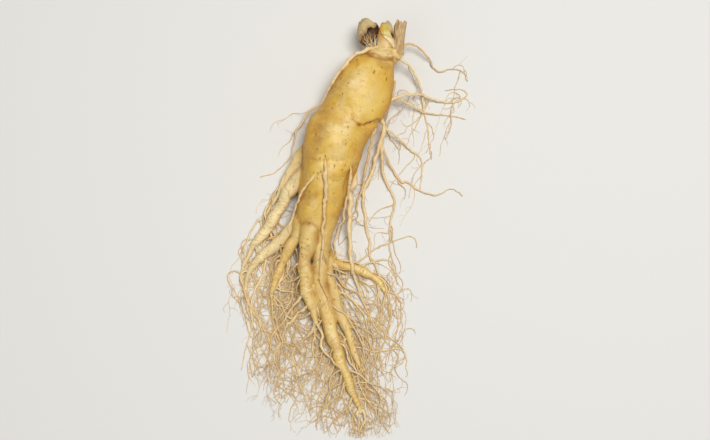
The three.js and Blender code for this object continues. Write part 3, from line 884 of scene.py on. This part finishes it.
strong_paths = np.array([course([(*point, 0) for point in route], ROOTLET_RINGS)[:, :3] * MM
                         for _, route in ROOTLETS.values()])
from_base = np.linspace(0, 1, ROOTLET_RINGS)
base = np.array([[thickness * MM] for thickness, _ in ROOTLETS.values()])
strong_radii = (base + (ROOTLET_TIP - base) * from_base) * np.minimum(0.45 + 9 * from_base, 1)
strong_paths = waver(strong_paths, 0.8 * MM, 5 * MM, seed=20.0)
strong_paths = waver(strong_paths, 0.3 * MM, 1.6 * MM, seed=24.0)
strong_paths = lift_clear(strong_paths, strong_radii)
rootlet_piece("strong_rootlets", strong_paths, knotted(strong_radii, strong_paths, 28.0, 0.22), 8,
              seed=1, joint=0.08)


# ---------------------------------------------------------------------------------------------
# Fine rootlets: a loose mat that the legs, the arms and the strong rootlets grow, each with side
# branches of its own, and short hairs on all of them. They droop to the floor and wander over it.

LIMB_SHOOTS, SIDE_SHOOTS, HAIRS = 100, 520, 1500
SHOOT_STEPS, SIDE_STEPS, HAIR_STEPS = 36, 22, 8
MAT_MIDDLE, MAT_HALF_WIDTH = -16 * MM, 44 * MM
MAT_END = -124 * MM
SHOOT_SHARES = {  # limb: (share of the shoots, where along the limb they begin and end)
    "main leg": (0.26, 0.25, 0.97), "middle leg": (0.15, 0.3, 0.95), "left leg": (0.12, 0.3, 0.95),
    "right leg": (0.16, 0.2, 0.95), "long arm": (0.07, 0.5, 0.97), "short arm": (0.05, 0.45, 0.95),
    "low arm": (0.07, 0.35, 0.95), "right arm": (0.12, 0.2, 0.95)}


def wander(starts, headings, lengths, radii, steps, seed, restless, heap):
    """Walks every rootlet at once, step by step, and returns the paths (rootlets, steps, 3).

    Each rootlet keeps to a direction of its own, drawn between its first heading and the legs' end;
    its heading strays from that by a slowly changing amount and now and then by a sudden kink. The
    slope sinks until the rootlet reaches its own height in the heap; the root pushes it aside; past
    the side of the mat it turns towards the legs' end, and none is long enough to pass MAT_END.
    """
    rng = np.random.default_rng(seed)
    count = len(starts)
    place, turning = starts.copy(), np.zeros(count)
    angle = np.arctan2(headings[:, 1], headings[:, 0])
    slope = np.arcsin(np.clip(headings[:, 2], -1, 1))
    rest = radii * 0.9 + heap * rng.random(count) ** 2
    aim = angle + 0.55 * np.arctan2(-np.cos(angle), -np.sin(angle)) + 0.5 * rng.normal(size=count)
    own_width = MAT_HALF_WIDTH * rng.uniform(0.5, 1.1, count)
    step = np.minimum(lengths, np.maximum(place[:, 1] - MAT_END, 2 * MM)) / steps
    path = [place.copy()]
    for _ in range(steps - 1):
        turning = 0.55 * turning + restless * rng.normal(size=count)
        kink = np.where(rng.random(count) < 0.09, 0.55 * rng.normal(size=count), 0)
        edge = np.clip((np.abs(place[:, 0] - MAT_MIDDLE) - own_width) / (8 * MM), 0, 1)
        goal = np.where(edge > 0, -np.pi / 2 - 0.4 * np.sign(place[:, 0] - MAT_MIDDLE), aim)
        lean = np.minimum((0.11 + 0.16 * edge) * step / MM, 0.8)
        angle = angle + turning * np.sqrt(step / MM) + kink + lean * np.sin(goal - angle)
        sink = -1.0 * np.clip((place[:, 2] - rest) / (5 * MM), 0, 1)
        slope += 0.4 * (sink - slope)
        place = place + step[:, None] * np.stack(
            [np.cos(angle) * np.cos(slope), np.sin(angle) * np.cos(slope), np.sin(slope)], axis=1)
        field = body_field(place)
        place = place + field["out"] * np.maximum(radii - field["gap"], 0)[:, None]
        place[:, 2] = np.maximum(place[:, 2], radii)
        path.append(place.copy())
    return np.stack(path, axis=1)


def side_shoots(paths, radii, count, first, last, seed):
    """Places and headings for shoots on a set of paths: a random path, a random point between first
    and last of its length, and the path's own heading turned by 30 to 80 degrees to either side."""
    rng = np.random.default_rng(seed)
    steps = paths.shape[1]
    parent = rng.integers(0, len(paths), count)
    ring = (steps * rng.uniform(first, last, count)).astype(int).clip(1, steps - 2)
    forward = unit(paths[parent, ring + 1] - paths[parent, ring])
    turn = np.radians(rng.uniform(30, 80, count)) * rng.choice([-1, 1], count)
    heading = np.stack([forward[:, 0] * np.cos(turn) - forward[:, 1] * np.sin(turn),
                        forward[:, 0] * np.sin(turn) + forward[:, 1] * np.cos(turn),
                        forward[:, 2] * 0.5 + rng.uniform(-0.1, 0.3, count)], axis=1)
    return paths[parent, ring], unit(heading), radii[parent, ring]


def limb_shoots(shares, count, seed):
    """Places on the limbs' flanks, with headings that leave sideways and a little forwards. shares
    gives each limb's part of the shoots and the stretch of its length that bears them."""
    rng = np.random.default_rng(seed)
    starts, headings = [], []
    for name, (share, first, last) in shares.items():
        rings = LIMBS[name]
        some = max(1, round(share * count))
        ring = (len(rings) * rng.uniform(first, last, some)).astype(int).clip(1, len(rings) - 2)
        forward = unit(rings[ring + 1, :3] - rings[ring - 1, :3])
        across = unit(np.cross(forward, np.array([0.0, 0.0, 1.0]))) * rng.choice([-1, 1], some)[:, None]
        rise = rng.uniform(-0.6, 0.7, some)[:, None]
        side = unit(across + rise * np.array([0.0, 0.0, 1.0]))
        starts.append(rings[ring, :3] + side * rings[ring, 3:] * 0.85)
        headings.append(unit(side + forward * rng.uniform(0.3, 1.4, some)[:, None]))
    return np.vstack(starts), np.vstack(headings)


def tapering(base, tip, steps):
    """Radii that shrink evenly from each rootlet's own base radius to the shared tip radius."""
    return base[:, None] + (tip - base[:, None]) * np.linspace(0, 1, steps) ** 1.3


rng = np.random.default_rng(7)
starts, headings = limb_shoots(SHOOT_SHARES, LIMB_SHOOTS, seed=41)
pointed = [rings for rings in LIMBS.values() if rings[-1, 3] < 1.5 * MM]
tips = np.repeat([rings[-2] for rings in pointed], 2, axis=0)
ahead = np.repeat([unit(rings[-1, :3] - rings[-4, :3]) for rings in pointed], 2, axis=0)
ahead[::2, :2] += 0.35 * ahead[::2, 1::-1] * (1, -1)
starts, headings = np.vstack([starts, tips[:, :3]]), np.vstack([headings, unit(ahead)])
count = len(starts)
base = rng.uniform(0.36, 0.7, count) * MM
base[-len(tips):] = tips[:, 3] * 0.8
first_paths = wander(starts, headings, rng.uniform(30, 78, count) * MM, base, SHOOT_STEPS, seed=42,
                     restless=0.075, heap=3.5 * MM)
first_radii = tapering(base, 0.14 * MM, SHOOT_STEPS)
rootlet_piece("fine_rootlets", waver(first_paths, 0.25 * MM, 2 * MM, 44.0),
              knotted(first_radii, first_paths, 45.0, 0.2), 6, seed=2)

starts, headings, parent_radii = side_shoots(
    np.concatenate([strong_paths[:, ::3][:, :SHOOT_STEPS], first_paths]),
    np.concatenate([strong_radii[:, ::3][:, :SHOOT_STEPS], first_radii]),
    SIDE_SHOOTS, 0.12, 0.95, seed=51)
base = np.minimum(parent_radii * 0.7, rng.uniform(0.17, 0.34, len(starts)) * MM)
second_paths = wander(starts, headings, rng.uniform(10, 38, len(starts)) * MM, base, SIDE_STEPS,
                      seed=52, restless=0.12, heap=3.0 * MM)
second_radii = tapering(base, 0.09 * MM, SIDE_STEPS)
rootlet_piece("side_rootlets", second_paths, knotted(second_radii, second_paths, 55.0, 0.2), 5, seed=3)

starts, headings, parent_radii = side_shoots(
    np.concatenate([first_paths[:, :SIDE_STEPS], second_paths]),
    np.concatenate([first_radii[:, :SIDE_STEPS], second_radii]), HAIRS, 0.1, 0.98, seed=61)
base = np.minimum(parent_radii * 0.7, rng.uniform(0.08, 0.15, len(starts)) * MM)
hair_paths = wander(starts, headings, rng.uniform(2.5, 10, len(starts)) * MM, base, HAIR_STEPS,
                    seed=62, restless=0.25, heap=2.0 * MM)
rootlet_piece("root_hairs", hair_paths, tapering(base, 0.05 * MM, HAIR_STEPS), 3, seed=4)


# ---------------------------------------------------------------------------------------------
# Winter bud: next year's shoot, closed tight in pale sheaths that wrap round each other. It stands
# on the end of the neck; the outer sheath ends in a lip half way up, and the point is greenish.

WINTER_BUD = [(17.4, 99, 19.4, 5.4), (17.3, 102, 20.2, 5), (16.9, 105.5, 21, 4.3),
              (16.4, 109.5, 22, 3.4), (16, 113.8, 22.7, 0.9)]
BUD_RINGS, BUD_SIDES = 110, 96
LIP_HEIGHT, LIP_SLANT = 0.45, 0.13  # where the outer sheath ends, as a share of the bud's length
SHEATH_TWIST = 0.42  # turns that a sheath's edge makes round the bud, from its base to its point
LINE_ROWS = 200


def turned(stations, shares, factors, slip=0.0):
    """A closed body round the smooth line through the stations (x, y, z, radius in millimetres).

    Ring k stands square to the line at shares[k] of its length; its radius is the line's own radius
    there times factors[k], one for each direction. Shares may turn back, for a hollow end. Slip
    moves points along the line. Returns points, faces and each point's way out.
    """
    rows = course(stations, LINE_ROWS) * MM
    slopes = np.gradient(rows[:, :3], axis=0)
    place = np.clip(shares, 0, 1) * (LINE_ROWS - 1)
    line, ahead = (np.column_stack([np.interp(place, np.arange(LINE_ROWS), column) for column in grid.T])
                   for grid in (rows, slopes))
    ahead = unit(ahead)
    across, upward = square_to(ahead)
    turn = full_turn(factors.shape[1])[:, None]
    way = across[:, None] * np.cos(turn) + upward[:, None] * np.sin(turn)
    slip = np.broadcast_to(slip, factors.shape)[..., None]
    rings = line[:, None, :3] + way * (line[:, 3:] * factors)[..., None] + ahead[:, None] * slip
    points = np.vstack([rings[0].mean(0), rings.reshape(-1, 3), rings[-1].mean(0)])
    ways = np.vstack([-ahead[:1], way.reshape(-1, 3), ahead[-1:]])
    return points, ring_faces(1, *factors.shape), ways


def around(rings, sides, crowd, seed):
    """Noise that closes on itself round a body: rows are read up it, columns round a circle."""
    up, angle = np.meshgrid(np.linspace(0, 1, rings), full_turn(sides), indexing="ij")
    places = np.stack([np.cos(angle) * crowd[0], np.sin(angle) * crowd[0], up * crowd[1]], axis=-1)
    return value_noise(places.reshape(-1, 3), seed).reshape(rings, sides)


def with_ends(grid):
    """A grid's values as a flat list, with one more value for the point before and after it."""
    return np.concatenate([[grid[0].mean()], grid.ravel(), [grid[-1].mean()]])


share = np.linspace(0, 1, BUD_RINGS)[:, None]
turn = full_turn(BUD_SIDES)[None]
lip = LIP_HEIGHT + LIP_SLANT * np.cos(turn - 2.6) + 0.02 * np.sin(5 * turn)
sheath = 1 / (1 + np.exp((share - lip) * 90))
wrap = np.modf(turn / (2 * np.pi) - SHEATH_TWIST * share + 0.92)[0]
ribs = np.sin(30 * turn + 9 * wrap)
factors = (0.86 + 0.12 * sheath + 0.13 * wrap + 0.012 * ribs
           + 0.05 * around(BUD_RINGS, BUD_SIDES, (2.5, 3), 31.0)
           + 0.02 * around(BUD_RINGS, BUD_SIDES, (6, 20), 32.0))
factors *= 1 - 0.3 * np.clip(0.06 - share, 0, 1) / 0.06
points, faces, ways = turned(WINTER_BUD, share[:, 0], factors)
edge = np.exp(-((share - lip) / 0.025) ** 2) + np.exp(-(wrap / 0.05) ** 2) * (share > 0.04)
under = np.clip(1 - wrap / 0.45, 0, 1) * sheath
winter_bud = new_piece("winter_bud_skin", points, *faces, {
    "share": with_ends(share + 0 * turn), "way": ways, "edge": with_ends(edge),
    "under": with_ends(under)})

BUD_CREAM = pigment(236, 220, 172)
BUD_TAN = pigment(218, 182, 112)
BUD_GREEN = pigment(206, 188, 84)
BUD_ORANGE = pigment(206, 142, 60)
BUD_BROWN = pigment(140, 92, 44)

bud_material, tree = new_material("bud skin")
place = object_place(tree)
height_up = attribute(tree, "share")
uneven = calculate(tree, "ADD", height_up, product(tree, noise(tree, place, 300.0), 0.3))
way = add_node(tree, "ShaderNodeSeparateXYZ", {"Vector": attribute(tree, "way", "Vector")})
# Painted shade: the left side of the bud's upper half, turned away from the key lamp, is mixed towards
# orange.
left_shade = product(tree, ramp(tree, way.outputs["X"], 0.1, -0.9), ramp(tree, height_up, 0.25, 0.6))
colour = layered(tree, BUD_CREAM, (ramp(tree, uneven, 0.55, 0.9), BUD_GREEN),
                 (attribute(tree, "under"), BUD_TAN), (product(tree, left_shade, 0.9), BUD_ORANGE),
                 (product(tree, attribute(tree, "edge"), 0.45), BUD_BROWN),
                 (ramp(tree, height_up, 0.93, 1.0), BUD_BROWN))
set_shader(tree, {
    "Base Color": blotched(tree, colour, BUD_ORANGE, 320.0, 0.17),
    "Roughness": ramp(tree, noise(tree, place, 700.0), -0.8, 2.6),
    "Normal": bump(tree, noise(tree, place, 900.0, detail=4.0), 0.3, 0.2),
    "Subsurface Weight": 0.15, "Subsurface Radius": (1.0, 0.6, 0.3), "Subsurface Scale": 1.5 * MM})
winter_bud.data.materials.append(bud_material)
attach(winter_bud, "root")
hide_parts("winter_bud")


# ---------------------------------------------------------------------------------------------
# Stem base: what is left of last year's stem, dry, grooved and hollow at its torn end. It grew from
# the side of the neck, in the ring-marked scar.

STEM_BASE = [(24.3, 96.6, 16.9, 3.5), (24.7, 100, 17.2, 3.5), (25, 105, 17.6, 3.4),
             (25.6, 110.5, 18, 3.6), (26.5, 115.2, 18.2, 3.4)]
STEM_SIDES = 80
OUTER_RINGS, INNER_RINGS = 90, 26
HOLLOW_FLOOR = 0.74  # how far up the hollow begins, as a share of the length
OUTER_SHARES = np.linspace(0, 1, OUTER_RINGS)
INNER_SHARES = np.linspace(1, HOLLOW_FLOOR, INNER_RINGS)
INNER_FACTORS = np.linspace(0.74, 0.5, INNER_RINGS)  # of the radius, from the mouth down

ridges = (0.06 * around(OUTER_RINGS, STEM_SIDES, (7, 2), 33.0)
          + 0.04 * around(OUTER_RINGS, STEM_SIDES, (14, 5), 34.0)
          + 0.05 * around(OUTER_RINGS, STEM_SIDES, (2, 6), 35.0))
inner_ridges = 0.05 * around(INNER_RINGS, STEM_SIDES, (6, 3), 36.0)
base_flare = 0.12 * np.exp(-(OUTER_SHARES / 0.12) ** 2)[:, None]
factors = np.vstack([0.94 + ridges + base_flare, INNER_FACTORS[:, None] + inner_ridges])
factors[-1] *= 0.2
shares = np.concatenate([OUTER_SHARES, INNER_SHARES])
torn = (0.9 * around(1, STEM_SIDES, (3, 1), 37.0) + 0.45 * around(1, STEM_SIDES, (9, 1), 38.0))[0]
slip = torn[None] * MM * np.clip((shares - 0.8) / 0.2, 0, 1)[:, None] ** 2
points, faces, _ = turned(STEM_BASE, shares, factors, slip)
inside = np.repeat([0.0, 1.0], [OUTER_RINGS, INNER_RINGS])[:, None] + 0 * factors
stem_base = new_piece("stem_base_skin", points, *faces, {
    "share": with_ends(shares[:, None] + 0 * factors), "inside": with_ends(inside),
    "groove": with_ends(np.vstack([ridges, inner_ridges]))})

STEM_BEIGE = pigment(210, 188, 146)
STEM_TAN = pigment(174, 136, 84)
STEM_HOLLOW_SHADE = pigment(84, 50, 30)
STEM_RUST = pigment(190, 118, 58)

stem_material, tree = new_material("dry stem")
place = object_place(tree)
height_up = attribute(tree, "share")
fibres = noise(tree, stretched(tree, place, (1.0, 0.14, 1.0)), 1300.0, detail=5.0)
rusty = product(tree, ramp(tree, noise(tree, place, 260.0), 0.58, 0.7), ramp(tree, height_up, 0.6, 0.2))
rim = product(tree, ramp(tree, height_up, 0.955, 1.0), 0.5)
# Painted shade: inside the hollow the colour darkens towards deep brown below the mouth.
depth = product(tree, attribute(tree, "inside"), ramp(tree, height_up, 1.0, 0.93))
colour = layered(tree, STEM_TAN, (ramp(tree, fibres, 0.35, 0.65), STEM_BEIGE),
                 (ramp(tree, attribute(tree, "groove"), -0.01, -0.07), STEM_TAN),
                 (calculate(tree, "MAXIMUM", rusty, rim), STEM_RUST), (depth, STEM_HOLLOW_SHADE))
set_shader(tree, {"Base Color": colour, "Roughness": ramp(tree, fibres, -2.2, 1.4),
                  "Normal": bump(tree, fibres, 0.6, 0.25)})
stem_base.data.materials.append(stem_material)
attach(stem_base, "root")
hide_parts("stem_base")


# ---------------------------------------------------------------------------------------------
# Bud scales: two dry, papery hoods, last year's bud coverings, that still stand on the neck beside
# the bud. Each is part of a thin egg, open towards the body, with a torn brown edge and veins.

BUD_SCALES = {  # name: centre, radii of the egg, turn about upright, wall, way the opening looks, span
    "bud_scale_left": ((8, 108.3, 17.5), (6.7, 9, 6), 0.35, 0.45, (0.25, -1.0, 0.35), 98),
    "bud_scale_right": ((18.6, 108, 15.4), (3.4, 8.4, 2.8), -0.05, 0.4, (0.05, -1.0, 0.35), 105),
}
SCALE_SHELL = 46  # rings from the pole of the hood to its edge
SCALE_SIDES = 110


def scale_hood(centre, radii, turn, wall, opening, span, seed):
    """A thin open hood: outer face from its pole to the torn edge, then the inner face back again.

    The way out from the centre, at angle a from the pole, is pole cos a + side sin a; it is
    stretched by the egg's radii, which noise and veins make uneven, and turned about upright. The
    edge lies at its own angle in each direction. Returns points, faces, edge share and veins.
    """
    pole = -unit(np.array(opening, float))
    side = unit(np.cross(pole, LEAN))
    other = np.cross(pole, side)
    turns = full_turn(SCALE_SIDES)
    crumple = around(SCALE_SHELL, SCALE_SIDES, (1.8, 2.5), seed)
    torn = (around(1, SCALE_SIDES, (2.5, 1), seed + 1)[0] * 12
            + around(1, SCALE_SIDES, (9, 1), seed + 2)[0] * 6)
    share = np.linspace(0.02, 1, SCALE_SHELL)[:, None]
    angle = np.radians(span + torn)[None] * share
    round_pole = side * np.cos(turns)[:, None] + other * np.sin(turns)[:, None]
    way = pole * np.cos(angle)[..., None] + round_pole * np.sin(angle)[..., None]
    veins = np.abs(np.modf(turns / (2 * np.pi) * 26 + 0.6 * crumple)[0] - 0.5) * 2
    curl = 1 + 0.12 * np.clip(share - 0.8, 0, 1) / 0.2 * around(1, SCALE_SIDES, (2, 1), seed + 3)
    curl = curl + 0.10 * np.exp(-(share / 0.25) ** 2)
    outer = way * (1 + 0.09 * crumple + 0.03 * veins)[..., None] * curl[..., None] * np.array(radii)
    inner = outer - way * wall * (1.0 - 0.45 * share[..., None])
    local = np.concatenate([outer, inner[::-1]])
    cos, sin = math.cos(turn), math.sin(turn)
    points = local @ np.array([[cos, sin, 0], [-sin, cos, 0], [0, 0, 1]]) + np.array(centre)
    points[..., 2] = np.maximum(points[..., 2], 1)
    points *= MM
    edge = share + 0 * turns
    marks = {"edge": np.concatenate([edge, edge[::-1]]),
             "inside": np.concatenate([0 * veins, 1 + 0 * veins]),
             "vein": np.concatenate([veins, veins[::-1]])}
    points = np.vstack([points[0].mean(0), points.reshape(-1, 3), points[-1].mean(0)])
    return (points, ring_faces(1, 2 * SCALE_SHELL, SCALE_SIDES),
            {label: with_ends(values) for label, values in marks.items()})


SCALE_GREEN = pigment(190, 174, 116)
SCALE_BEIGE = pigment(212, 186, 138)
SCALE_BROWN = pigment(138, 94, 50)
SCALE_SHADE_AND_SOIL = pigment(96, 58, 34)

scale_material, tree = new_material("dry scale")
place = object_place(tree)
mottle = noise(tree, place, 260.0, detail=5.0)
ragged = calculate(tree, "ADD", attribute(tree, "edge"), product(tree, mottle, 0.3))
# Painted shade: the inner face of each hood is mixed towards dark brown, the colour also used for its
# soil.
colour = layered(tree, SCALE_GREEN, (ramp(tree, mottle, 0.38, 0.62), SCALE_BEIGE),
                 (product(tree, ramp(tree, attribute(tree, "vein"), 0.3, 0.0), 0.35), SCALE_BROWN),
                 (ramp(tree, ragged, 0.98, 1.18), SCALE_BROWN),
                 (product(tree, attribute(tree, "inside"), 0.75), SCALE_SHADE_AND_SOIL))
set_shader(tree, {
    "Base Color": blotched(tree, colour, SCALE_SHADE_AND_SOIL, 200.0, 0.08),
    "Roughness": ramp(tree, mottle, -1.6, 1.6),
    "Normal": bump(tree, noise(tree, place, 900.0, detail=5.0), 0.5, 0.2)})

for name, shape in BUD_SCALES.items():
    points, faces, marks = scale_hood(*shape, seed=40.0 + 10 * shape[0][0])
    scale = new_piece(f"{name}_skin", points, *faces, marks)
    scale.data.materials.append(scale_material)
    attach(scale, "root")
    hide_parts(name)


# ---------------------------------------------------------------------------------------------
# Crown fibres: pale dry threads, the torn remains of older scales, that stand in the hollow between
# the left scale and the bud. Each leaves the neck and arches over towards the scale.

CROWN_FIBRES = 14
FIBRE_RINGS = 24

rng = np.random.default_rng(71)
root_end = np.array([11.5, 98.5, 17.5]) + rng.uniform((-2.5, -1, -3), (1.5, 1.5, 4), (CROWN_FIBRES, 3))
free_end = np.array([8, 106, 19]) + rng.uniform((-4.5, -3, -4), (3.5, 4.5, 5), (CROWN_FIBRES, 3))
bend = (root_end + free_end) / 2 + rng.uniform((-2, -1, 0), (2, 1, 3.5), (CROWN_FIBRES, 3))
share = np.linspace(0, 1, FIBRE_RINGS)[None, :, None]
fibre_paths = (root_end[:, None] * (1 - share) ** 2 + 2 * bend[:, None] * share * (1 - share)
               + free_end[:, None] * share ** 2) * MM
fibre_paths = waver(fibre_paths, 0.5 * MM, 1.5 * MM, 72.0)
fibre_radii = tapering(rng.uniform(0.16, 0.38, CROWN_FIBRES) * MM, 0.08 * MM, FIBRE_RINGS)
rootlet_piece("crown_fibres", fibre_paths, fibre_radii, 6, seed=5)
